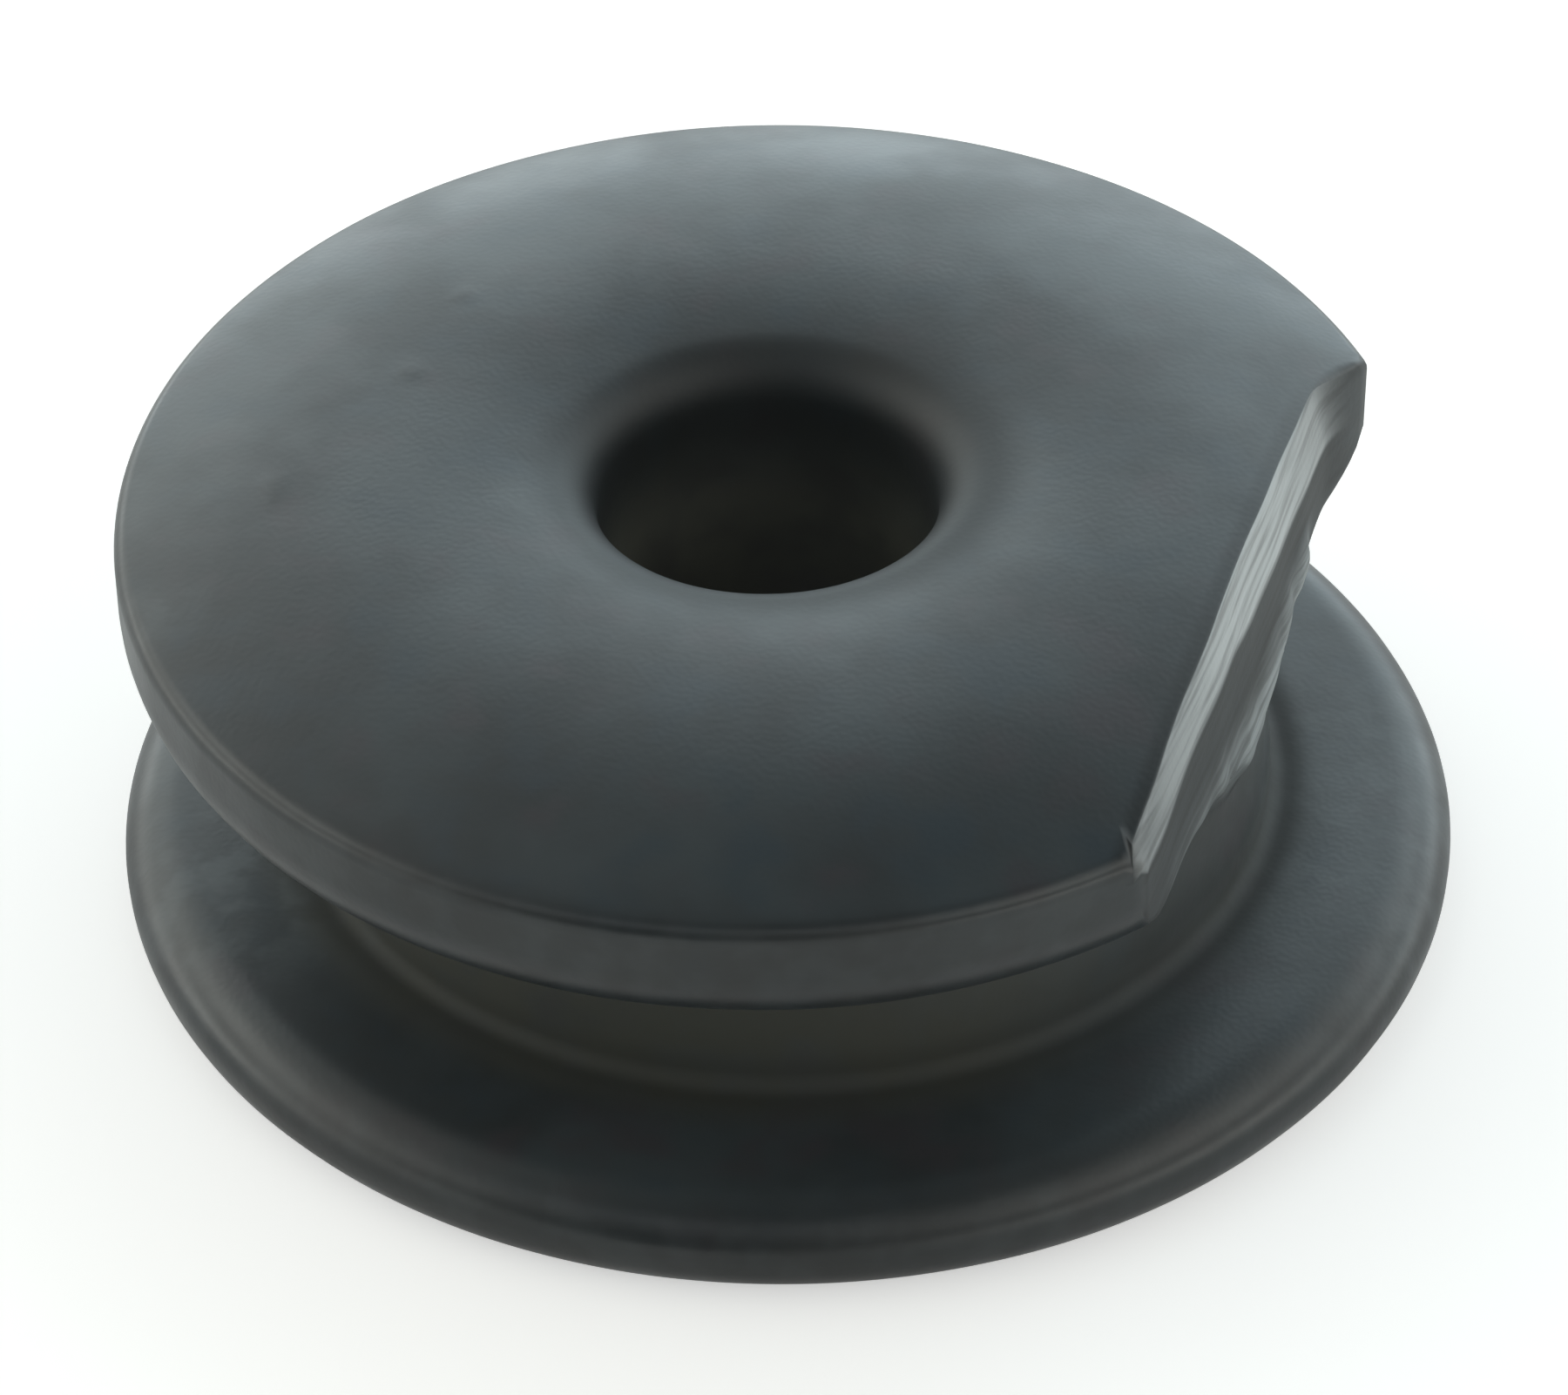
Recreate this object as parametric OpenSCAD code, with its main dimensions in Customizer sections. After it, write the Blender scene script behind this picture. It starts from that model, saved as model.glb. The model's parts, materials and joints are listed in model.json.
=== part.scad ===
// Panel grommet, moulded in one piece of soft black rubber.
// The base flange and the cap flange grip the two faces of a panel, the neck between
// them fills the panel's hole, and the round-lipped bore carries a stem or a cable.
// The cap's top swells to a ring round the bore, and one side of the cap is trimmed flat.
// +Z runs up the bore, and the origin is at the centre of the underside.

/* [Base flange] */
// Diameter of the base flange, the widest part
base_d = 24; // [23:0.5:30]
// Thickness of the base flange
base_t = 1.9; // [1.9:0.1:3]
// Rounding of the base rim's upper edge
base_upper_round = 1.05; // [0.3:0.05:1.05]
// Rounding of the base rim's lower edge
base_lower_round = 0.75; // [0.2:0.05:0.75]

/* [Panel groove] */
// Diameter of the neck, the bottom of the groove
neck_d = 17.4; // [15.5:0.1:17.6]
// Width of the groove between the two flanges
groove_w = 3.6; // [2:0.1:6]
// Fillet between the neck and the base flange
neck_fillet = 0.3; // [0.1:0.05:0.6]
// Flare of the neck into the cap flange
neck_flare = 1.3; // [0.4:0.1:1.4]

/* [Cap flange] */
// Diameter of the cap flange before the flat is trimmed
cap_d = 22.9; // [22.7:0.1:26]
// Thickness of the cap flange at its crest
cap_t = 3.3; // [2.9:0.1:4.5]
// Radius of the crest, the ring where the cap is highest
crest_r = 6.1; // [5:0.1:7]
// Radius of the curve from the crest out to the rim
outer_arc = 15; // [12:0.5:40]
// Radius of the curve from the crest in to the bore
inner_arc = 13; // [8:0.5:30]
// Rounding of the rim's upper edge
cap_upper_round = 0.4; // [0.2:0.05:0.6]
// Rounding of the rim's lower edge
cap_lower_round = 1.3; // [0.3:0.05:1.4]

/* [Bore] */
// Diameter of the bore
bore_d = 6; // [4:0.1:8]
// Rounding of the bore's mouth in the cap
mouth_round = 1; // [0.4:0.05:1.8]
// Rounding of the bore's outlet in the underside
outlet_round = 0.4; // [0.2:0.05:0.8]

/* [Flat] */
// Distance of the flat from the axis
flat_x = 8.8; // [8.2:0.1:9.8]
// How far the bevel over the flat leans back at the crest's height
bevel_in = 0.35; // [0.1:0.05:0.6]
// Depth of the bevel below the crest
bevel_down = 1.2; // [0.6:0.1:1.6]

/* [Hidden] */
$fn = 96;
base_r = base_d / 2;
neck_r = neck_d / 2;
cap_r = cap_d / 2;
bore_r = bore_d / 2;
cap_z = base_t + groove_w;
crest_z = cap_z + cap_t;
// The trimming stops in the middle of the groove, beside the neck.
flat_z = base_t + groove_w / 2;
// Spare length on cutting shapes, so that they pass through.
spare = 1;

// What a rounding of radius r takes off the corner between the cap's top, which is an
// arc from the crest, and a wall at wall_x. side is 1 for the rim and -1 for the bore.
module top_corner(arc, wall_x, side, r) {
    arc_z = crest_z - arc;
    reach = arc - r;
    centre_x = wall_x - side * r;
    centre_z = arc_z + sqrt(reach * reach - (centre_x - crest_r) * (centre_x - crest_r));
    away = [(centre_x - crest_r) / reach, (centre_z - arc_z) / reach];
    difference() {
        polygon([
            [centre_x, centre_z],
            [centre_x + away[0] * (r + spare), centre_z + away[1] * (r + spare)],
            [wall_x + side * spare, centre_z + r + spare],
            [wall_x + side * spare, centre_z]
        ]);
        translate([centre_x, centre_z]) circle(r);
    }
}

// What a rounding of radius r takes off a square corner at the origin,
// with the rubber on the side that sx and sy point away from.
module square_corner(sx, sy, r) {
    difference() {
        translate([sx > 0 ? -r : -spare, sy > 0 ? -r : -spare]) square(r + spare);
        translate([-sx * r, -sy * r]) circle(r);
    }
}

// What a fillet of radius r adds in a square corner at the origin, open towards sx and sy.
module inner_fillet(sx, sy, r) {
    difference() {
        translate([sx > 0 ? 0 : -r, sy > 0 ? 0 : -r]) square(r);
        translate([sx * r, sy * r]) circle(r);
    }
}

// Half of the base flange's section.
module base_section() {
    difference() {
        square([base_r, base_t]);
        translate([base_r, base_t]) square_corner(1, 1, base_upper_round);
        translate([base_r, 0]) square_corner(1, -1, base_lower_round);
    }
}

// One strip of the cap flange's section, from x1 to x2, under an arc from the crest.
module cap_strip(arc, x1, x2) {
    intersection() {
        translate([x1, cap_z]) square([x2 - x1, cap_t + spare]);
        translate([crest_r, crest_z - arc]) circle(arc, $fn = 720);
    }
}

// Half of the cap flange's section.
module cap_section() {
    difference() {
        union() {
            cap_strip(inner_arc, 0, crest_r);
            cap_strip(outer_arc, crest_r, cap_r);
        }
        top_corner(outer_arc, cap_r, 1, cap_upper_round);
        translate([cap_r, cap_z]) square_corner(1, -1, cap_lower_round);
    }
}

// Half of the neck's section, with a fillet at the base flange and a flare into the cap.
module neck_section() {
    translate([0, base_t / 2]) square([neck_r, groove_w + (base_t + cap_t) / 2]);
    translate([neck_r, base_t]) inner_fillet(1, 1, neck_fillet);
    translate([neck_r, cap_z]) inner_fillet(1, -1, neck_flare);
}

// Half of the whole section, with the bore taken out.
module section() {
    difference() {
        union() {
            base_section();
            neck_section();
            cap_section();
        }
        translate([0, -spare]) square([bore_r, crest_z + 2 * spare]);
        top_corner(inner_arc, bore_r, -1, mouth_round);
        translate([bore_r, 0]) square_corner(-1, -1, outlet_round);
    }
}

// The trimming cut, an upright flat with a steep bevel over it.
module flat_cut() {
    lean = bevel_in / bevel_down;
    rotate([90, 0, 0])
    linear_extrude(height = cap_d, center = true)
    polygon([
        [flat_x, flat_z],
        [cap_r + spare, flat_z],
        [cap_r + spare, crest_z + spare],
        [flat_x - bevel_in - lean * spare, crest_z + spare],
        [flat_x, crest_z - bevel_down]
    ]);
}

module grommet() {
    color("#3f4447")
    difference() {
        rotate_extrude() section();
        flat_cut();
    }
}

grommet();
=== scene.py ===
import json
import math

import bpy
import numpy as np
from mathutils import Matrix, Vector, noise


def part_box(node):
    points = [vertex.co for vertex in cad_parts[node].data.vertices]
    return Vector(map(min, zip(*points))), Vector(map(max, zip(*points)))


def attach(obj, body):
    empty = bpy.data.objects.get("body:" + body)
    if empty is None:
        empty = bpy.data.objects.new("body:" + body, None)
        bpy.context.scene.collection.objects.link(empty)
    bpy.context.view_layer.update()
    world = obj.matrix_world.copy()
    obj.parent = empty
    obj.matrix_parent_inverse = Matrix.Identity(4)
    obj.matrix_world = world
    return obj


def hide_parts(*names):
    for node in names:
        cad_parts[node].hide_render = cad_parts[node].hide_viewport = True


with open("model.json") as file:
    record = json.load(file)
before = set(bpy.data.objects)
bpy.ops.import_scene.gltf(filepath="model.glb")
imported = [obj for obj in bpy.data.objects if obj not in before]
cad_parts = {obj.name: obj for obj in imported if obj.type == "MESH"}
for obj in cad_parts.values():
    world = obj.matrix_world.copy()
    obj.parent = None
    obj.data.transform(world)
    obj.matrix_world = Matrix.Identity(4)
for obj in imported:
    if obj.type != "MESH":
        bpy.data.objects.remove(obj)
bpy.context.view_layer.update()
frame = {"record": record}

mm = 0.001
hair = 0.01 * mm  # too small to show


def toLinear(hexColour):  # sRGB hex to the linear colour that a shader takes
    channels = [int(hexColour[i:i + 2], 16) / 255 for i in (1, 3, 5)]
    return [c / 12.92 if c <= 0.04045 else ((c + 0.055) / 1.055) ** 2.4 for c in channels] + [1.0]


def addNode(tree, kind, settings=None, inputs=None):  # one node, its settings, then its values or links
    node = tree.nodes.new(kind)
    for name, value in (settings or {}).items():
        setattr(node, name, value)
    for name, value in (inputs or {}).items():
        value = value.outputs[0] if isinstance(value, bpy.types.Node) else value
        if isinstance(value, bpy.types.NodeSocket):
            tree.links.new(value, node.inputs[name])
        else:
            node.inputs[name].default_value = value
    return node


# settings that many nodes share
times = {"operation": "MULTIPLY"}
plus = {"operation": "ADD"}
timesPlus = {"operation": "MULTIPLY_ADD"}
larger = {"operation": "MAXIMUM"}
eased = {"interpolation_type": "SMOOTHSTEP"}
colours = {"data_type": "RGBA"}


def freshMaterial(name):
    material = bpy.data.materials.new(name)
    material.use_nodes = True
    material.node_tree.nodes.clear()
    return material, material.node_tree


mounts = {mount["name"]: mount for mount in frame["record"]["mounts"]}
partLow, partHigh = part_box("grommet")

grommetSizes = {
    "baseRadius": -partLow[0],
    "baseThick": mounts["panel_seat"]["pos_m"][2],
    "baseUpperRound": 1.05 * mm,
    "baseLowerRound": 0.75 * mm,
    "baseCrown": 0.25 * mm,  # how far its top falls away towards the rim
    "neckRadius": mounts["panel_groove"]["dims"]["r_mm"] * mm,
    "grooveWidth": mounts["panel_groove"]["dims"]["length_mm"] * mm,
    "neckFillet": 0.3 * mm,  # where the neck meets the base
    "neckFlare": 1.3 * mm,  # where it meets the cap
    "capRadius": 11.45 * mm,
    "capThick": 3.3 * mm,  # at its crest
    "crestRadius": 6.1 * mm,  # the cap's top is highest on a ring round the mouth
    "outerArc": 15.0 * mm,
    "innerArc": 13.0 * mm,
    "capUpperRound": 0.4 * mm,
    "capLowerRound": 1.3 * mm,
    "boreRadius": mounts["bore"]["dims"]["r_mm"] * mm,
    "mouthRound": 1.0 * mm,
    "outletRound": 0.4 * mm,
    "flatX": mounts["trimmed_flat"]["pos_m"][0],
}
runPoints = {  # points on each stretch of the half-section, closer together where it curves
    "outlet": 6,
    "boreWall": 14,
    "mouth": 16,
    "innerTop": 16,
    "outerTop": 28,
    "rimUpper": 14,
    "rimLower": 12,
    "capUnder": 4,
    "flare": 16,
    "neck": 16,
    "fillet": 6,
    "baseTop": 12,
    "baseUpper": 14,
    "baseLower": 10,
    "underside": 16,
    "bevel": 12,  # on the rim's wall, where nothing is cut
    "flat": 12,
}


def arcPoints(centre, radius, start, end, count):  # angles in degrees, both ends included
    angles = np.radians(np.linspace(start, end, count))
    return np.c_[centre[0] + radius * np.cos(angles), centre[1] + radius * np.sin(angles)]


def linePoints(start, end, count):  # spacing half eased towards both ends
    even = np.linspace(0, 1, count)
    t = (even + (1 - np.cos(even * math.pi)) / 2) / 2
    return np.array(start) + np.outer(t, np.array(end) - np.array(start))


def joinRuns(*runs):  # one run after another, with no point twice
    return np.vstack([run if i == 0 else run[1:] for i, run in enumerate(runs)])


def sectionRuns(s, n):  # half-section in (radius, height), in four runs, open at the rim's wall
    capZ = s["baseThick"] + s["grooveWidth"]
    crestZ = capZ + s["capThick"]

    def tangentInside(arc, x, reach):  # centre and bearing of a rounding that touches an arc of the top
        centreZ = crestZ - arc
        z = centreZ + math.sqrt((arc - reach) ** 2 - (x - s["crestRadius"]) ** 2)
        return (x, z), math.degrees(math.atan2(z - centreZ, x - s["crestRadius"]))

    lip, lipAngle = tangentInside(s["innerArc"], s["boreRadius"] + s["mouthRound"], s["mouthRound"])
    rim, rimAngle = tangentInside(s["outerArc"], s["capRadius"] - s["capUpperRound"], s["capUpperRound"])
    low = (s["capRadius"] - s["capLowerRound"], capZ + s["capLowerRound"])
    flare = (s["neckRadius"] + s["neckFlare"], capZ - s["neckFlare"])
    fillet = (s["neckRadius"] + s["neckFillet"], s["baseThick"] + s["neckFillet"])
    baseHigh = (s["baseRadius"] - s["baseUpperRound"], s["baseThick"] - s["baseUpperRound"])
    baseLow = (s["baseRadius"] - s["baseLowerRound"], s["baseLowerRound"])
    outlet = (s["boreRadius"] + s["outletRound"], s["outletRound"])

    bore = joinRuns(
        arcPoints(outlet, s["outletRound"], 270, 180, n["outlet"]),
        linePoints((s["boreRadius"], outlet[1]), (s["boreRadius"], lip[1]), n["boreWall"]),
        arcPoints(lip, s["mouthRound"], 180, lipAngle, n["mouth"]),
    )
    top = joinRuns(
        arcPoints((s["crestRadius"], crestZ - s["innerArc"]), s["innerArc"], lipAngle, 90, n["innerTop"]),
        arcPoints((s["crestRadius"], crestZ - s["outerArc"]), s["outerArc"], 90, rimAngle, n["outerTop"]),
        arcPoints(rim, s["capUpperRound"], rimAngle, 0, n["rimUpper"]),
    )
    under = joinRuns(
        arcPoints(low, s["capLowerRound"], 0, -90, n["rimLower"]),
        linePoints((low[0], capZ), (flare[0], capZ), n["capUnder"]),
        arcPoints(flare, s["neckFlare"], 90, 180, n["flare"]),
    )
    foot = joinRuns(
        linePoints((s["neckRadius"], flare[1]), (s["neckRadius"], fillet[1]), n["neck"]),
        arcPoints(fillet, s["neckFillet"], 180, 270, n["fillet"]),
        linePoints((fillet[0], s["baseThick"]), (baseHigh[0], s["baseThick"]), n["baseTop"]),
        arcPoints(baseHigh, s["baseUpperRound"], 90, 0, n["baseUpper"]),
        arcPoints(baseLow, s["baseLowerRound"], 0, -90, n["baseLower"]),
        linePoints((baseLow[0], 0), (outlet[0], 0), n["underside"]),
    )
    outwards = np.clip((foot[:, 0] - fillet[0]) / (s["baseRadius"] - fillet[0]), 0, 1)
    upper = np.clip((foot[:, 1] - baseLow[1]) / (s["baseThick"] - baseLow[1]), 0, 1)
    foot[:, 1] -= s["baseCrown"] * outwards ** 2 * upper
    return {"bore": bore, "top": top, "under": under, "foot": foot, "crestZ": crestZ}


def alongRun(run):  # distance of each point along a run
    return np.r_[0, np.cumsum(np.hypot(*np.diff(run, axis=0).T))]


# the run up to where reach turns negative, with as many points as before
def keepInside(run, reach, fromStart):
    order, spare = (run, reach) if fromStart else (run[::-1], reach[::-1])
    if (spare > 0).all():
        return run
    last = max(int(np.argmax(spare <= 0)), 1)
    a, b = order[last - 1], order[last]
    t = spare[last - 1] / (spare[last - 1] - spare[last])
    kept = np.vstack([order[:last], a + t * (b - a)])
    was, now = alongRun(order), alongRun(kept)
    spots = was * now[-1] / was[-1]
    kept = np.c_[np.interp(spots, now, kept[:, 0]), np.interp(spots, now, kept[:, 1])]
    return kept if fromStart else kept[::-1]


def roundCorner(run, corner, reach):  # eases one point of a run over a distance to each side
    along = alongRun(run)
    start, end = along[corner] - reach, along[corner] + reach
    pick = (along > start) & (along < end)
    ends = [np.array([np.interp(x, along, run[:, k]) for k in (0, 1)]) for x in (start, end)]
    t = ((along[pick] - start) / (end - start))[:, None]
    softer = run.copy()
    softer[pick] = (1 - t) ** 2 * ends[0] + 2 * t * (1 - t) * run[corner] + t ** 2 * ends[1]
    return softer


trimSizes = {
    "ribs": 360,  # half-sections round the axis
    "crowding": 0.52,  # how much closer they stand at the flat
    "widest": 1.2,  # radians from the flat's middle, past which its path no longer matters
    "upperIn": 0.24 * mm,  # how far the bevel's upper edge stands back from the flat
    "bevelMiddle": 1.2 * mm,  # depth of the bevel in the middle of the cut
    "bevelFront": 0.42 * mm,  # and at its front end
    "shallower": (0.0 * mm, 3.5 * mm),  # from the middle forwards, where it loses its depth
    "bevelBack": (4.9 * mm, 6.5 * mm),  # where it runs out towards the back
    "flatLeast": 0.25,  # share of the cut's height that the flat keeps under it
    "backStray": 0.42 * mm,  # the blade left the rubber this much further out
    "strayFrom": (5.2 * mm, 6.9 * mm),
    "wander": 0.03 * mm,
    "wanderSpan": 1.7 * mm,
    "wanderSeed": (3.1, 0.4),
    "freshFrom": 0.15 * mm,  # depth from which the cut shows fully
    "freshBack": 0.3,  # how much of it shows where the bevel runs out
    "easedFrom": 0.5 * mm,  # depth from which its edges are eased fully
    "topEdge": 0.07 * mm,  # easing of its edges
    "softBack": 0.45 * mm,
    "bevelEdge": 0.12 * mm,
    "bottomEdge": 0.10 * mm,
    "neckClear": 0.3 * mm,  # closer to the neck than this, the lower edge isn't eased
    "tornFrom": (-7.0 * mm, -0.5 * mm),  # the rubber tore off along the lower edge, most in the middle
    "tornTo": (3.2 * mm, 4.6 * mm),
    "tornShare": 0.75,
    "tornRagged": 0.6,
    "ragSpan": 0.8 * mm,
    "ragSeed": (7.7, 0.2),
    "tornSpan": 0.9 * mm,  # how far up the flat the tear reaches
    "tornOut": 0.14 * mm,  # and how far it stands out
    "tornSteep": 2.0,  # how quickly it does
    "tornFull": 1.2,
}


def smoothStep(low, high, x):
    t = min(max((x - low) / (high - low), 0.0), 1.0)
    return t * t * (3 - 2 * t)


def bladePath(s, t, crestZ, angle):  # where the flat and its bevel stand at one angle
    along = s["flatX"] * math.tan(max(min(angle, t["widest"]), -t["widest"]))  # place along the cut
    runOut = smoothStep(*t["bevelBack"], along)
    flat = s["flatX"] + t["backStray"] * smoothStep(*t["strayFrom"], along)
    flat += t["wander"] * noise.noise(Vector((along / t["wanderSpan"], *t["wanderSeed"])))
    down = t["bevelMiddle"] + (t["bevelFront"] - t["bevelMiddle"]) * smoothStep(*t["shallower"], -along)
    reach = min(math.hypot(flat - t["upperIn"], along), s["capRadius"]) - s["crestRadius"]
    upperZ = crestZ - s["outerArc"] + math.sqrt(s["outerArc"] ** 2 - reach ** 2)
    torn = smoothStep(*t["tornFrom"], along) * (1 - smoothStep(*t["tornTo"], along))
    torn *= t["tornShare"] + t["tornRagged"] * noise.noise(Vector((along / t["ragSpan"], *t["ragSeed"])))
    return {"flat": flat, "lean": t["upperIn"] * (1 - runOut), "down": down, "foot": upperZ - down,
            "runOut": runOut, "torn": torn}


def trimmedRib(runs, s, t, n, angle):  # the half-section at one angle, cut back to the flat and its bevel
    ahead = max(math.cos(angle), 0.05)  # a rib that turns away from the blade is never reached
    blade = bladePath(s, t, runs["crestZ"], angle)
    flat, lean, down = blade["flat"], blade["lean"], blade["down"]

    def spare(points):  # what is left to the cut, negative beyond it
        leaning = np.clip((points[:, 1] - blade["foot"]) / down, 0, None) * lean
        return (flat - leaning) / ahead - points[:, 0]

    top = keepInside(runs["top"], spare(runs["top"]), True)
    under = keepInside(runs["under"], spare(runs["under"]), False)
    kneeR = min(flat / ahead, s["capRadius"])  # the corner between bevel and flat
    kneeZ = blade["foot"] + down * max(0.0, flat - kneeR * ahead) / max(lean, hair)
    kneeZ = min(kneeZ, top[-1, 1] - t["flatLeast"] * (top[-1, 1] - under[0, 1]))
    knee = np.array((kneeR, kneeZ))
    bevel = top[-1] + np.linspace(0, 1, n["bevel"])[:, None] * (knee - top[-1])
    face = knee + np.linspace(0, 1, n["flat"])[:, None] * (under[0] - knee)
    cap = joinRuns(top, bevel, face, under)
    fresh = np.zeros(len(cap))
    # share of the bevel's painted highlight, below 0 along the torn edge
    bevelled = np.zeros(len(cap))
    depth = s["capRadius"] - top[-1, 0]
    if depth > 0:
        upperEdge = len(top) - 1
        middleEdge = upperEdge + len(bevel) - 1
        lowerEdge = middleEdge + len(face) - 1
        shown = min(1.0, depth / t["freshFrom"]) * (1 - (1 - t["freshBack"]) * blade["runOut"])
        fresh[upperEdge:middleEdge + 1] = shown
        if kneeR < s["capRadius"]:  # further round, the blade only took the rim's upper edge
            fresh[middleEdge + 1:lowerEdge + 1] = shown
        bevelled[upperEdge:middleEdge + 1] = (1 - blade["runOut"]) ** 2
        toLip = np.hypot(*(cap - cap[lowerEdge]).T)
        lip = blade["torn"] * np.clip(1 - toLip / t["tornSpan"], 0, 1)
        lip[:middleEdge + 1] = 0
        bevelled -= lip
        fade = min(1.0, depth / t["easedFrom"])
        cap = roundCorner(cap, upperEdge, (t["topEdge"] + t["softBack"] * blade["runOut"]) * fade)
        cap = roundCorner(cap, middleEdge, t["bevelEdge"] * fade)
        if under[0, 0] > s["neckRadius"] + t["neckClear"]:
            cap = roundCorner(cap, lowerEdge, t["bottomEdge"] * fade)
        standing = np.minimum(t["tornSteep"] * lip, 1) * min(1.0, t["tornFull"] * blade["torn"])
        cap[:, 0] += t["tornOut"] * standing
    ends = len(runs["bore"]) - 1, len(runs["foot"]) - 1
    return joinRuns(runs["bore"], cap, runs["foot"]), np.pad(fresh, ends), np.pad(bevelled, ends)


def ribCurves(s, t, n):  # every rib as a poly spline of one curve object
    runs = sectionRuns(s, n)
    data = bpy.data.curves.new("grommetRibs", "CURVE")
    data.dimensions = "3D"
    turns = np.arange(t["ribs"]) / t["ribs"] * 2 * math.pi
    angles = turns - t["crowding"] * np.sin(turns)
    for angle in angles:
        signed = (angle + math.pi) % (2 * math.pi) - math.pi
        rib, fresh, bevelled = trimmedRib(runs, s, t, n, signed)
        spline = data.splines.new("POLY")
        spline.points.add(len(rib) - 1)
        places = np.c_[rib[:, 0] * math.cos(angle), rib[:, 0] * math.sin(angle), rib[:, 1], np.ones(len(rib))]
        spline.points.foreach_set("co", places.ravel())
        spline.points.foreach_set("radius", fresh)  # carries what the blade has touched
        spline.points.foreach_set("tilt", bevelled)  # above 0 on the bevel, for its painted highlight, below 0 where the rubber tore, for the torn edge's painted highlight
    ribs = bpy.data.objects.new("grommetRibs", data)
    bpy.context.scene.collection.objects.link(ribs)
    return ribs, len(rib)


skinSizes = {
    "Lean": (-0.31 * mm, 0.0, 0.0),  # how far the cap has drifted off the base
    "Tilt": (0.001, 0.018, 0.0),  # how much the cap rises along X and Y
    "Lean Foot": 1.9 * mm,
    "Lean Top": 5.7 * mm,
    "Wave Height": 0.015 * mm,  # the moulded skin is never quite even
    "Wave Size": 4.5 * mm,
    "Wave Foot": 0.4 * mm,  # height at which the waves are full, so that the underside stays flat
    "Mark Depth": 0.02 * mm,  # the blade's marks, long ones along the cut
    "Mark Spacing": 0.28 * mm,
    "Mark Stretch": (0.3, 0.07, 1.0),
    "Nick Depth": 0.022 * mm,
    "Nicks Above": 7.0 * mm,
    "Weld": 0.001 * mm,
}
nicks = {  # small dents in the cap's top: place and radius
    "left": (-8.05 * mm, -2.9 * mm, 0.34 * mm),
    "leftLow": (-7.95 * mm, -3.25 * mm, 0.24 * mm),
    "middle": (-6.75 * mm, 0.53 * mm, 0.32 * mm),
    "back": (-6.62 * mm, 2.95 * mm, 0.3 * mm),
}


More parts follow.
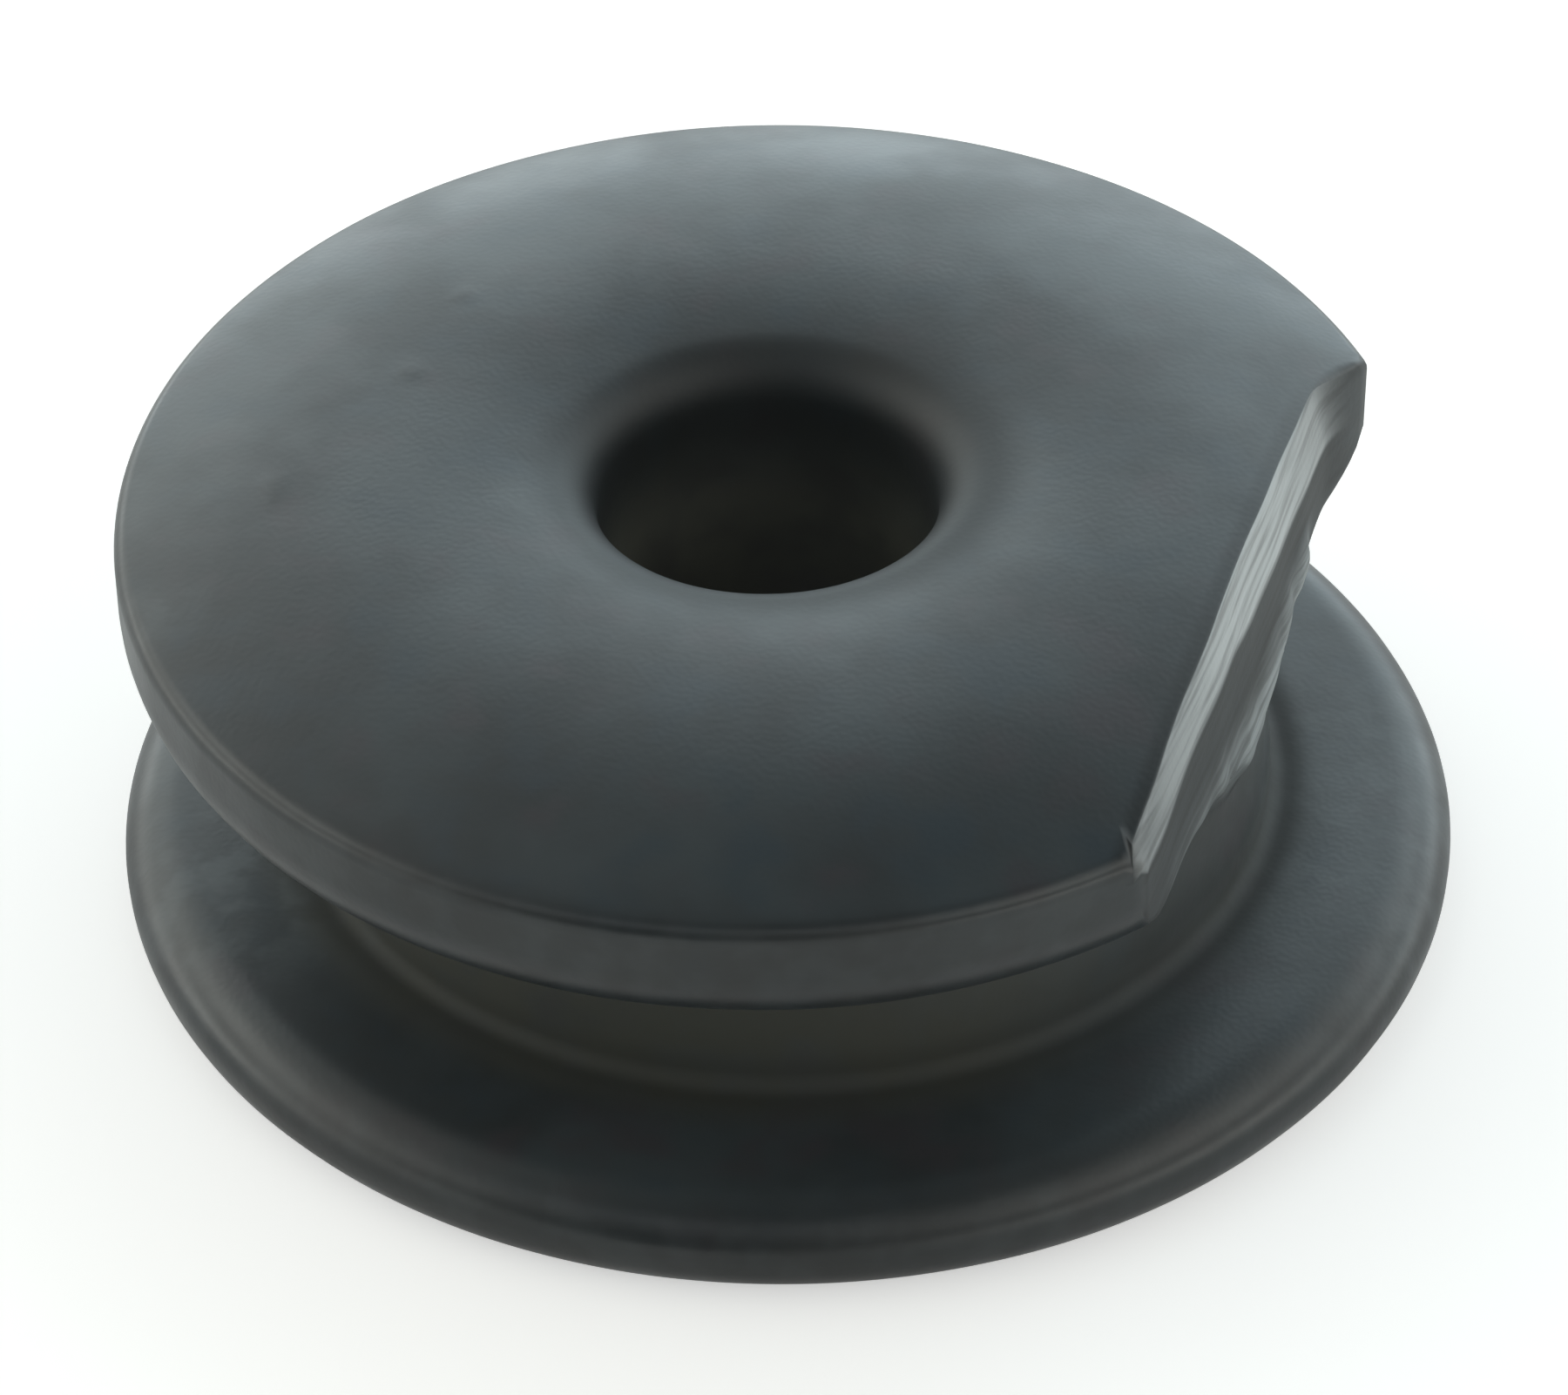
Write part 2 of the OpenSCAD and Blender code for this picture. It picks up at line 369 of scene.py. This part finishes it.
def skinTree(material, ribCount, pointCount):
    tree = bpy.data.node_groups.new("skinRibs", "GeometryNodeTree")
    face = tree.interface
    face.new_socket("Geometry", in_out="INPUT", socket_type="NodeSocketGeometry")
    for name, value in skinSizes.items():
        kind = "NodeSocketVector" if isinstance(value, tuple) else "NodeSocketFloat"
        face.new_socket(name, in_out="INPUT", socket_type=kind)
    face.new_socket("Geometry", in_out="OUTPUT", socket_type="NodeSocketGeometry")
    given = addNode(tree, "NodeGroupInput").outputs

    # a grid with one column for each rib takes its places from the ribs' points
    grid = addNode(tree, "GeometryNodeMeshGrid", inputs={
        "Vertices X": ribCount + 1, "Vertices Y": pointCount + 1})
    index = addNode(tree, "GeometryNodeInputIndex")
    column = addNode(tree, "ShaderNodeMath", {"operation": "DIVIDE"}, {0: index, 1: pointCount + 1.0})
    column = addNode(tree, "ShaderNodeMath", {"operation": "FLOOR"}, {0: column})
    column = addNode(tree, "ShaderNodeMath", {"operation": "MODULO"}, {0: column, 1: float(ribCount)})
    row = addNode(tree, "ShaderNodeMath", {"operation": "MODULO"}, {0: index, 1: pointCount + 1.0})
    row = addNode(tree, "ShaderNodeMath", {"operation": "MODULO"}, {0: row, 1: float(pointCount)})
    point = addNode(tree, "ShaderNodeMath", timesPlus, {0: column, 1: float(pointCount), 2: row})
    place = addNode(tree, "GeometryNodeInputPosition")
    onPoints = {"domain": "POINT"}
    ribPlace = addNode(tree, "GeometryNodeSampleIndex", {"data_type": "FLOAT_VECTOR", **onPoints},
                       {"Geometry": given["Geometry"], "Value": place, "Index": point})
    skin = addNode(tree, "GeometryNodeSetPosition", inputs={"Geometry": grid, "Position": ribPlace})

    # what the blade has touched goes along as two attributes
    floats = {"data_type": "FLOAT", **onPoints}
    for name, source in (("cutFace", "radius"), ("bevelFace", "tilt")):
        carried = addNode(tree, "GeometryNodeInputNamedAttribute", {"data_type": "FLOAT"}, {"Name": source})
        sampled = addNode(tree, "GeometryNodeSampleIndex", floats, {
            "Geometry": given["Geometry"], "Value": carried, "Index": point})
        skin = addNode(tree, "GeometryNodeStoreNamedAttribute", floats, {
            "Geometry": skin, "Name": name, "Value": sampled})
    closed = addNode(tree, "GeometryNodeMergeByDistance", inputs={
        "Geometry": skin, "Distance": given["Weld"]})

    # dents in the cap's top, and how deep each point lies in one
    split = addNode(tree, "ShaderNodeSeparateXYZ", inputs={0: place})
    height = split.outputs["Z"]
    overhead = addNode(tree, "ShaderNodeCombineXYZ", inputs={0: split.outputs["X"], 1: split.outputs["Y"]})
    onTop = addNode(tree, "ShaderNodeMath", {"operation": "GREATER_THAN"}, {
        0: height, 1: given["Nicks Above"]})
    depths = 0.0
    for x, y, radius in nicks.values():
        away = addNode(tree, "ShaderNodeVectorMath", {"operation": "DISTANCE"}, {0: overhead, 1: (x, y, 0)})
        dent = addNode(tree, "ShaderNodeMapRange", eased, {
            "Value": away.outputs["Value"], "From Min": radius, "From Max": 0.0})
        depths = addNode(tree, "ShaderNodeMath", plus, {0: depths, 1: dent})
    dented = addNode(tree, "ShaderNodeMath", times, {0: depths, 1: onTop})
    pitted = addNode(tree, "GeometryNodeStoreNamedAttribute", floats, {
        "Geometry": closed, "Name": "nick", "Value": dented})
    inward = addNode(tree, "ShaderNodeMath", times, {0: dented, 1: given["Nick Depth"]})

    # slow waves over the moulded skin
    waveRate = addNode(tree, "ShaderNodeMath", {"operation": "DIVIDE"}, {0: 1.0, 1: given["Wave Size"]})
    wavePlace = addNode(tree, "ShaderNodeVectorMath", {"operation": "SCALE"}, {0: place, "Scale": waveRate})
    wave = addNode(tree, "ShaderNodeTexNoise", inputs={"Vector": wavePlace, "Scale": 1.0, "Detail": 1.0})
    swell = addNode(tree, "ShaderNodeMath", timesPlus, {0: wave, 1: 2.0, 2: -1.0})  # to either side of zero
    swell = addNode(tree, "ShaderNodeMath", times, {0: swell, 1: given["Wave Height"]})
    lifted = addNode(tree, "ShaderNodeMapRange", eased, {
        "Value": height, "From Min": hair, "From Max": given["Wave Foot"]})
    swell = addNode(tree, "ShaderNodeMath", times, {0: swell, 1: lifted})
    swell = addNode(tree, "ShaderNodeMath", {"operation": "SUBTRACT"}, {0: swell, 1: inward})
    normal = addNode(tree, "GeometryNodeInputNormal")
    outward = addNode(tree, "ShaderNodeVectorMath", {"operation": "SCALE"}, {0: normal, "Scale": swell})

    # marks of the blade on the cut
    markRate = addNode(tree, "ShaderNodeMath", {"operation": "DIVIDE"}, {0: 1.0, 1: given["Mark Spacing"]})
    along = addNode(tree, "ShaderNodeVectorMath", times, {0: place, 1: given["Mark Stretch"]})
    along = addNode(tree, "ShaderNodeVectorMath", {"operation": "SCALE"}, {0: along, "Scale": markRate})
    mark = addNode(tree, "ShaderNodeTexNoise", inputs={"Vector": along, "Scale": 1.0, "Detail": 2.0})
    scored = addNode(tree, "ShaderNodeMath", timesPlus, {0: mark, 1: 2.0, 2: -1.0})
    blade = addNode(tree, "GeometryNodeInputNamedAttribute", {"data_type": "FLOAT"}, {"Name": "cutFace"})
    scored = addNode(tree, "ShaderNodeMath", times, {0: scored, 1: blade})
    scored = addNode(tree, "ShaderNodeMath", times, {0: scored, 1: given["Mark Depth"]})
    sideways = addNode(tree, "ShaderNodeCombineXYZ", inputs={0: scored})

    # the cap has drifted to one side, more the higher up
    rise = addNode(tree, "ShaderNodeMapRange", eased, {
        "Value": height, "From Min": given["Lean Foot"], "From Max": given["Lean Top"]})
    drift = addNode(tree, "ShaderNodeVectorMath", {"operation": "SCALE"}, {0: given["Lean"], "Scale": rise})
    slope = addNode(tree, "ShaderNodeVectorMath", {"operation": "DOT_PRODUCT"}, {0: given["Tilt"], 1: place})
    tipped = addNode(tree, "ShaderNodeMath", times, {0: slope.outputs["Value"], 1: rise})
    upward = addNode(tree, "ShaderNodeCombineXYZ", inputs={"Z": tipped})
    moved = drift
    for step in (upward, outward, sideways):
        moved = addNode(tree, "ShaderNodeVectorMath", plus, {0: moved, 1: step})
    leaned = addNode(tree, "GeometryNodeSetPosition", inputs={"Geometry": pitted, "Offset": moved})

    smooth = addNode(tree, "GeometryNodeSetShadeSmooth", inputs={"Geometry": leaned})
    real = addNode(tree, "GeometryNodeRealizeInstances", inputs={"Geometry": smooth})
    dressed = addNode(tree, "GeometryNodeSetMaterial", inputs={"Geometry": real, "Material": material})
    addNode(tree, "NodeGroupOutput", inputs={"Geometry": dressed})
    return tree


def buildGrommet(material):
    ribs, pointCount = ribCurves(grommetSizes, trimSizes, runPoints)
    tree = skinTree(material, trimSizes["ribs"], pointCount)
    modifier = ribs.modifiers.new("skin", "NODES")
    modifier.node_group = tree
    sockets = {item.name: item.identifier for item in tree.interface.items_tree if item.in_out == "INPUT"}
    for name, value in skinSizes.items():
        modifier[sockets[name]] = value
    graph = bpy.context.evaluated_depsgraph_get()
    mesh = bpy.data.meshes.new_from_object(ribs.evaluated_get(graph), depsgraph=graph)
    bpy.data.objects.remove(ribs)
    mesh.name = "mouldedGrommet"
    grommet = bpy.data.objects.new("mouldedGrommet", mesh)
    bpy.context.scene.collection.objects.link(grommet)
    return grommet


# black nitrile rubber, compression moulded: a satin skin with an uneven grey bloom on it, duller where
# dust settles in the groove and the bore, paler in the bore as painted light, with painted shade in the
# neck's crease, on the rims, in the mouth and beside the cut, and painted highlights on the cut's bevel and
# torn edge
rubberLook = {
    "ior": 1.52,
    "roughness": (0.40, 0.30),  # of the bare rubber, and where the bloom lies
    "grainHeight": 0.0015,  # mm, left by the mould's blasted face
    "deep": "#2b2f31",
    "bloomed": "#3b4144",
    "coolTint": "#2f3940",
    "coolShare": 0.55,
    "warmTint": "#3c373b",
    "warmShare": 0.5,
    "grooveDust": "#3b3c36",
    # the bore's tone: dust, and paler still as painted light deep in the bore
    "boreDust": "#5a5b54",
    "dustShare": (0.55, 0.45),  # everywhere in the hollows, and more in patches
    "dustRoughness": 0.62,
    "wiped": (4.5, 8.0),  # mm along X, where less and less dust is left towards the cut
    "wipedShare": 0.75,
    "fold": "#1d1e1a",  # painted shade in the crease where the neck meets the base
    "foldShare": 0.3,
    "foldRoughness": 0.75,
    "handled": "#1d2021",  # painted shade, darker than the bare rubber, on the rims' walls and in the mouth
    "handledShare": 0.65,
    "mouthRoughness": 0.55,
    # pale tone: wear on the rims and the finger marks, and painted light on the base
    "worn": "#4d5356",
    "wornShare": 0.15,
    "rubbedShare": (0.3, 0.7),  # all over a patch, and more in spots
    "smudgeCore": 0.2,  # share of its radius at which it is full
    "pressed": "#191b1b",  # dark in the nicks, and painted shade in a line on the cap's top beside the cut
    "nickShare": 0.6,
    "pressShare": 0.55,
    "pressX": (7.85, 8.1),  # mm, where that line sets in
    "pressY": (5.8, 4.2),  # and where it ends towards the back
    "sliced": "#1e2122",
    "sliceRoughness": 0.6,
    # painted highlight on the cut's bevel, where it catches the light
    "bevelled": "#abb1b3",
    "bevelRoughness": 0.3,
    "bevelSpan": (-8.5, -0.5, 1.5, 6.0),  # mm along Y, where the bevel's painted highlight starts, is full and ends
    "bevelEnds": (0.35, 0.5),  # what is left of it at the front and the back
    "markShare": (0.45, 0.55),  # share of the painted highlight between the blade's marks, and what a mark adds
    # the torn edge: pale as torn rubber, and a painted highlight where light catches it
    "torn": "#8f9597",
    "tornStrength": 1.6,
}
# patterns: size of a patch in mm, detail, stretch along X, Y and Z, shift, and where the ramp starts and ends
rubberPatterns = {
    "bloom": (3.2, 3.0, (1, 1, 1), 0.0, (0.32, 0.68)),
    "cool": (1.6, 2.0, (1, 1, 1), 11.3, (0.5, 0.75)),
    "warm": (1.6, 2.0, (1, 1, 1), 11.3, (0.48, 0.25)),
    "scuffs": (0.9, 2.0, (1, 1, 1), 71.0, (0.42, 0.66)),
    "settled": (1.6, 2.0, (1, 1, 1), 11.3, (0.3, 0.6)),
    "bladeMarks": (0.16, 2.0, (0.5, 0.05, 1), 53.0, (0.32, 0.62)),
    "grain": (0.11, 0.0, (1, 1, 1), 3.0, (0.0, 1.0)),
}
patternRoughness = 0.55
# ring-shaped zones: the radii and then the heights, in mm, over which each sets in and over which it ends
rubberZones = {
    "capTop": ((), ((7.2, 7.6),)),
    "capWall": (((10.9, 11.2),), ((4, 5), (7.9, 7.5))),
    "baseRim": (((11.1, 11.8),), ((4, 3),)),
    "mouth": (((4.6, 3.6),), ((5.5, 7.4),)),
    "groove": (((10.0, 9.0),), ((1.4, 1.8), (6.2, 5.0))),
    # painted shade in the crease at the neck's foot
    "fold": (((8.2, 8.6), (9.6, 9.0)), ((2.8, 2.2),)),
    "bore": (((3.8, 3.3),), ((7.8, 5.0),)),
}
palePatches = {  # pale patches: place, radius and strength; those by the mouth are finger wear, the one at the cap's left edge is paler, the two on the base are painted light
    "besideMouth": (-4.2, -2.35, 8.5, 0.7, 0.5),
    "beforeMouth": (-3.9, -5.5, 8.5, 1.1, 0.25),
    "leftEdge": (-9.4, -6.2, 8.2, 1.3, 0.4),
    "baseRight": (10.4, 1.5, 1.8, 6.0, 0.6),
    "baseLeft": (-7.6, -5.4, 1.8, 3.8, 1.0),
}


def mouldedRubber():
    look = rubberLook
    tone = {name: toLinear(value) for name, value in look.items() if isinstance(value, str)}
    material, tree = freshMaterial("mouldedRubber")
    coords = addNode(tree, "ShaderNodeTexCoord")
    place = addNode(tree, "ShaderNodeVectorMath", {"operation": "SCALE"}, {
        0: coords.outputs["Object"], "Scale": 1 / mm})
    level = addNode(tree, "ShaderNodeVectorMath", times, {0: place, 1: (1, 1, 0)})
    radius = addNode(tree, "ShaderNodeVectorMath", {"operation": "LENGTH"}, {0: level}).outputs["Value"]
    split = addNode(tree, "ShaderNodeSeparateXYZ", inputs={0: place})
    alongX, alongY, height = split.outputs

    pattern = {}
    for name, (span, detail, stretch, shift, ramp) in rubberPatterns.items():
        spread = addNode(tree, "ShaderNodeVectorMath", timesPlus, {
            0: place, 1: [k / span for k in stretch], 2: (shift, shift, shift)})
        noisy = addNode(tree, "ShaderNodeTexNoise", inputs={
            "Vector": spread, "Scale": 1.0, "Detail": detail, "Roughness": patternRoughness})
        pattern[name] = addNode(tree, "ShaderNodeMapRange", eased, {
            "Value": noisy, "From Min": ramp[0], "From Max": ramp[1]})

    zone = {}
    for name, (radii, heights) in rubberZones.items():
        edges = [(radius, edge) for edge in radii] + [(height, edge) for edge in heights]
        for value, (none, full) in edges:
            within = addNode(tree, "ShaderNodeMapRange", eased, {
                "Value": value, "From Min": none, "From Max": full})
            zone[name] = within if name not in zone else addNode(
                tree, "ShaderNodeMath", times, {0: zone[name], 1: within})

    # bloom and wear, and painted shade on the rims and in the mouth
    cool = addNode(tree, "ShaderNodeMath", times, {0: pattern["cool"], 1: look["coolShare"]})
    warm = addNode(tree, "ShaderNodeMath", times, {0: pattern["warm"], 1: look["warmShare"]})
    rims = addNode(tree, "ShaderNodeMath", larger, {0: zone["capWall"], 1: zone["baseRim"]})
    handled = addNode(tree, "ShaderNodeMath", larger, {0: rims, 1: zone["mouth"]})
    handled = addNode(tree, "ShaderNodeMath", times, {0: handled, 1: look["handledShare"]})
    scuffed = addNode(tree, "ShaderNodeMath", times, {0: pattern["scuffs"], 1: look["wornShare"]})
    worn = addNode(tree, "ShaderNodeMath", times, {0: rims, 1: scuffed})

    # dust in the hollows, wiped off towards the cut; the bore's paler tone is also painted light
    allOver, patchy = look["dustShare"]
    settled = addNode(tree, "ShaderNodeMath", timesPlus, {0: pattern["settled"], 1: patchy, 2: allOver})
    hollow = addNode(tree, "ShaderNodeMath", larger, {0: zone["groove"], 1: zone["bore"]})
    dusty = addNode(tree, "ShaderNodeMath", times, {0: hollow, 1: settled})
    wiped = addNode(tree, "ShaderNodeMapRange", eased, {
        "Value": alongX, "From Min": look["wiped"][0], "From Max": look["wiped"][1],
        "To Min": 1.0, "To Max": 1 - look["wipedShare"]})
    dusty = addNode(tree, "ShaderNodeMath", times, {0: dusty, 1: wiped})
    dustAndBoreLight = addNode(tree, "ShaderNodeMix", colours, {
        0: zone["bore"], 6: tone["grooveDust"], 7: tone["boreDust"]}).outputs[2]
    # painted shade in the crease where the neck meets the base
    foldShade = addNode(tree, "ShaderNodeMath", times, {0: zone["fold"], 1: look["foldShare"]})

    # nicks, and a line of painted shade on the cap's top beside the cut
    nick = addNode(tree, "ShaderNodeAttribute", {"attribute_name": "nick"}).outputs["Fac"]
    nicked = addNode(tree, "ShaderNodeMath", times, {0: nick, 1: look["nickShare"]})
    paintedShadeLine = addNode(tree, "ShaderNodeMath", times, {0: zone["capTop"], 1: look["pressShare"]})
    for value, (start, full) in ((alongX, look["pressX"]), (alongY, look["pressY"])):
        within = addNode(tree, "ShaderNodeMapRange", eased, {
            "Value": value, "From Min": start, "From Max": full})
        paintedShadeLine = addNode(tree, "ShaderNodeMath", times, {0: paintedShadeLine, 1: within})

    # the cut: a dark face, a painted highlight on the bevel over it, and a torn lower edge with a painted
    # highlight
    blade = addNode(tree, "ShaderNodeAttribute", {"attribute_name": "cutFace"}).outputs["Fac"]
    carried = addNode(tree, "ShaderNodeAttribute", {"attribute_name": "bevelFace"}).outputs["Fac"]
    bevel = addNode(tree, "ShaderNodeMath", larger, {0: carried, 1: 0.0})
    sliced = addNode(tree, "ShaderNodeMix", colours, {
        0: pattern["bladeMarks"], 6: tone["sliced"], 7: tone["deep"]}).outputs[2]
    between, marked = look["markShare"]
    pale = addNode(tree, "ShaderNodeMath", timesPlus, {0: pattern["bladeMarks"], 1: marked, 2: between})
    # the torn edge's paleness, partly a painted highlight
    torn = addNode(tree, "ShaderNodeMath", {**times, "use_clamp": True}, {
        0: carried, 1: -look["tornStrength"]})
    torn = addNode(tree, "ShaderNodeMath", times, {0: torn, 1: pale})
    front, full, still, back = look["bevelSpan"]
    for start, full, least in zip((front, back), (full, still), look["bevelEnds"]):
        paler = addNode(tree, "ShaderNodeMapRange", eased, {
            "Value": alongY, "From Min": start, "From Max": full, "To Min": least})
        pale = addNode(tree, "ShaderNodeMath", times, {0: pale, 1: paler})
    bevelled = addNode(tree, "ShaderNodeMix", colours, {
        0: pale, 6: tone["deep"], 7: tone["bevelled"]}).outputs[2]

    # colours, one over the other from the bare rubber up
    layers = [
        (pattern["bloom"], tone["bloomed"]),
        (cool, tone["coolTint"]),
        (warm, tone["warmTint"]),
        (handled, tone["handled"]),
        (worn, tone["worn"]),
    ]
    allOver, patchy = look["rubbedShare"]
    patchiness = addNode(tree, "ShaderNodeMath", timesPlus, {0: pattern["scuffs"], 1: patchy, 2: allOver})
    # the pale patches, the two on the base painted light
    for markX, markY, markZ, span, strength in palePatches.values():
        away = addNode(tree, "ShaderNodeVectorMath", {"operation": "DISTANCE"}, {
            0: place, 1: (markX, markY, markZ)})
        near = addNode(tree, "ShaderNodeMapRange", eased, {
            "Value": away.outputs["Value"], "From Min": span, "From Max": span * look["smudgeCore"],
            "To Max": strength})
        layers.append((addNode(tree, "ShaderNodeMath", times, {0: near, 1: patchiness}), tone["worn"]))
    layers += [
        (dusty, dustAndBoreLight),
        (foldShade, tone["fold"]),
        (nicked, tone["pressed"]),
        (paintedShadeLine, tone["pressed"]),
        (blade, sliced),
        (torn, tone["torn"]),
        (bevel, bevelled),
    ]
    colour = tone["deep"]
    for share, over in layers:
        colour = addNode(tree, "ShaderNodeMix", colours, {0: share, 6: colour, 7: over}).outputs[2]

    rough = addNode(tree, "ShaderNodeMapRange", inputs={
        "Value": pattern["bloom"], "To Min": look["roughness"][0], "To Max": look["roughness"][1]})
    dulled = (
        (dusty, look["dustRoughness"]),
        (zone["fold"], look["foldRoughness"]),
        (zone["mouth"], look["mouthRoughness"]),
        (blade, look["sliceRoughness"]),
        (bevel, look["bevelRoughness"]),
    )
    for share, dull in dulled:
        rough = addNode(tree, "ShaderNodeMix", {"data_type": "FLOAT"}, {0: share, 2: rough, 3: dull})

    grain = addNode(tree, "ShaderNodeBump", inputs={
        "Strength": 1.0, "Distance": look["grainHeight"] * mm, "Height": pattern["grain"]})
    shader = addNode(tree, "ShaderNodeBsdfPrincipled", inputs={
        "Base Color": colour, "Roughness": rough, "Normal": grain, "IOR": look["ior"]})
    addNode(tree, "ShaderNodeOutputMaterial", inputs={"Surface": shader})
    return material


studio = {
    "floorColour": "#ececea",
    "floorSide": 1.6,
    "floorLift": 0.5,  # what the camera adds to the floor, so that it reads as white
    "floorShine": 0.2,  # and what a reflection of it adds
    "steps": (10, 24, 38, 54, 70),  # degrees above the floor where the light on the walls changes
    "edge": 2.5,  # degrees over which it changes
    "overhead": 0.05,
    "peak": 4.0,  # the ramp holds each radiance as a share of this
    "mapWidth": 256,
}

# soft light round the part: each wall's tone, and its radiance from the floor up, one value below each step
lightWalls = {
    "right": ("#fffff8", (2.6, 0.2, 1.9, 0.8, 0.0)),
    "behind": ("#e4f5fb", (3.6, 2.0, 2.3, 1.2, 0.0)),
    "left": ("#fbfdf6", (3.4, 1.0, 3.0, 0.6, 0.6)),
    "front": ("#f2fbff", (0.0, 0.0, 0.1, 0.6, 0.0)),
}


def wallStops():  # over the sine of the height: the light of the four walls, as a ramp's four channels
    levels = list(zip(*(given + (studio["overhead"],) for tone, given in lightWalls.values())))
    spots = [(0, levels[0])]
    for step, below, above in zip(studio["steps"], levels, levels[1:]):
        spots += [(step - studio["edge"] / 2, below), (step + studio["edge"] / 2, above)]
    return [(math.sin(math.radians(angle)), [k / studio["peak"] for k in four]) for angle, four in spots]


def worldRadiance(air):  # each wall's light by height, and how far a direction turns towards that wall
    way = addNode(air, "ShaderNodeTexCoord").outputs["Generated"]
    height = addNode(air, "ShaderNodeSeparateXYZ", inputs={0: way}).outputs["Z"]
    level = addNode(air, "ShaderNodeVectorMath", times, {0: way, 1: (1, 1, 0)})
    bearing = addNode(air, "ShaderNodeVectorMath", {"operation": "NORMALIZE"}, {0: level})
    towards = []
    for flip in (1, -1):  # to the right and behind, then to the left and the front
        turned = addNode(air, "ShaderNodeVectorMath", {"operation": "SCALE"}, {0: bearing, "Scale": flip})
        ahead = addNode(air, "ShaderNodeVectorMath", larger, {0: turned, 1: (0, 0, 0)})
        squared = addNode(air, "ShaderNodeVectorMath", times, {0: ahead, 1: ahead})
        towards += addNode(air, "ShaderNodeSeparateXYZ", inputs={0: squared}).outputs[:2]
    walls = addNode(air, "ShaderNodeValToRGB", inputs={0: height})
    stops = walls.color_ramp.elements
    for k, (spot, four) in enumerate(wallStops()):
        stop = stops[0] if k == 0 else stops.new(spot)
        stop.color = four
    stops[-1].color = stops[-2].color
    levels = [*addNode(air, "ShaderNodeSeparateColor", inputs={0: walls}).outputs, walls.outputs["Alpha"]]
    total = (0, 0, 0)
    for share, level, (tone, given) in zip(towards, levels, lightWalls.values()):
        facing = addNode(air, "ShaderNodeMath", times, {0: share, 1: level})
        glow = addNode(air, "ShaderNodeVectorMath", {"operation": "SCALE"}, {
            0: toLinear(tone)[:3], "Scale": facing})
        total = addNode(air, "ShaderNodeVectorMath", plus, {0: total, 1: glow})
    return addNode(air, "ShaderNodeVectorMath", {"operation": "SCALE"}, {0: total, "Scale": studio["peak"]})


def buildFloor():
    side = studio["floorSide"]
    mesh = bpy.data.meshes.new("floor")
    corners = [(-side, -side, 0), (side, -side, 0), (side, side, 0), (-side, side, 0)]
    mesh.from_pydata(corners, [], [(0, 1, 2, 3)])
    floor = bpy.data.objects.new("floor", mesh)
    bpy.context.scene.collection.objects.link(floor)
    material, tree = freshMaterial("paleFloor")
    matt = addNode(tree, "ShaderNodeBsdfDiffuse", inputs={"Color": toLinear(studio["floorColour"])})
    path = addNode(tree, "ShaderNodeLightPath")
    lift = 0.0
    for ray, strength in (("Camera", studio["floorLift"]), ("Glossy", studio["floorShine"])):
        lift = addNode(tree, "ShaderNodeMath", timesPlus, {
            0: path.outputs[f"Is {ray} Ray"], 1: strength, 2: lift})
    glow = addNode(tree, "ShaderNodeEmission", inputs={"Strength": lift})
    both = addNode(tree, "ShaderNodeAddShader", inputs={0: matt, 1: glow})
    addNode(tree, "ShaderNodeOutputMaterial", inputs={"Surface": both})
    mesh.materials.append(material)


def buildWorld():  # white where the camera looks past the part, the soft walls for all other rays
    world = bpy.data.worlds.new("studioAir")
    bpy.context.scene.world = world
    world.use_nodes = True
    world.cycles.sampling_method = "MANUAL"  # the walls are soft, so a small map of them is enough
    world.cycles.sample_map_resolution = studio["mapWidth"]
    air = world.node_tree
    air.nodes.clear()
    path = addNode(air, "ShaderNodeLightPath")
    soft = addNode(air, "ShaderNodeBackground", inputs={"Color": worldRadiance(air)})
    white = addNode(air, "ShaderNodeBackground", inputs={"Color": (1, 1, 1, 1)})
    mixed = addNode(air, "ShaderNodeMixShader", inputs={0: path.outputs["Is Camera Ray"], 1: soft, 2: white})
    addNode(air, "ShaderNodeOutputWorld", inputs={"Surface": mixed})


cameraPlace = {
    "azimuth": 17.5,  # degrees, seen from the front and a little to the right
    "elevation": 39.0,
    "roll": -0.6,
    "distance": 120 * mm,
    "lens": 152.5,
    "sensorWidth": 36,
    "nearest": 10 * mm,
    "aimHeight": 1.9 * mm,
    "aimUp": 1.17 * mm,  # across the view, upwards
    "aimRight": -0.06 * mm,
}


def buildCamera():
    c = cameraPlace
    a, e = math.radians(c["azimuth"]), math.radians(c["elevation"])
    back = Vector((math.sin(a) * math.cos(e), -math.cos(a) * math.cos(e), math.sin(e)))
    right = Vector((math.cos(a), math.sin(a), 0))
    up = back.cross(right)
    spin = math.radians(c["roll"])
    rolledRight = right * math.cos(spin) + up * math.sin(spin)
    rolledUp = up * math.cos(spin) - right * math.sin(spin)
    aim = Vector((0, 0, c["aimHeight"])) + rolledUp * c["aimUp"] + rolledRight * c["aimRight"]
    data = bpy.data.cameras.new("camera")
    data.lens = c["lens"]
    data.sensor_width = c["sensorWidth"]
    data.clip_start = c["nearest"]
    camera = bpy.data.objects.new("camera", data)
    turn = Matrix((rolledRight, rolledUp, back)).transposed().to_4x4()
    camera.matrix_world = Matrix.Translation(aim + back * c["distance"]) @ turn
    bpy.context.scene.collection.objects.link(camera)
    bpy.context.scene.camera = camera


buildCamera()
buildFloor()
buildWorld()
print("camera and studio placed")
rubber = mouldedRubber()
print("rubber mixed:", len(rubber.node_tree.nodes), "nodes")
grommet = buildGrommet(rubber)
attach(grommet, "root")
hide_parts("grommet")
print("grommet skinned:", len(grommet.data.vertices), "points,", len(grommet.data.polygons), "faces")

scene = bpy.context.scene
scene.view_settings.view_transform = "Standard"
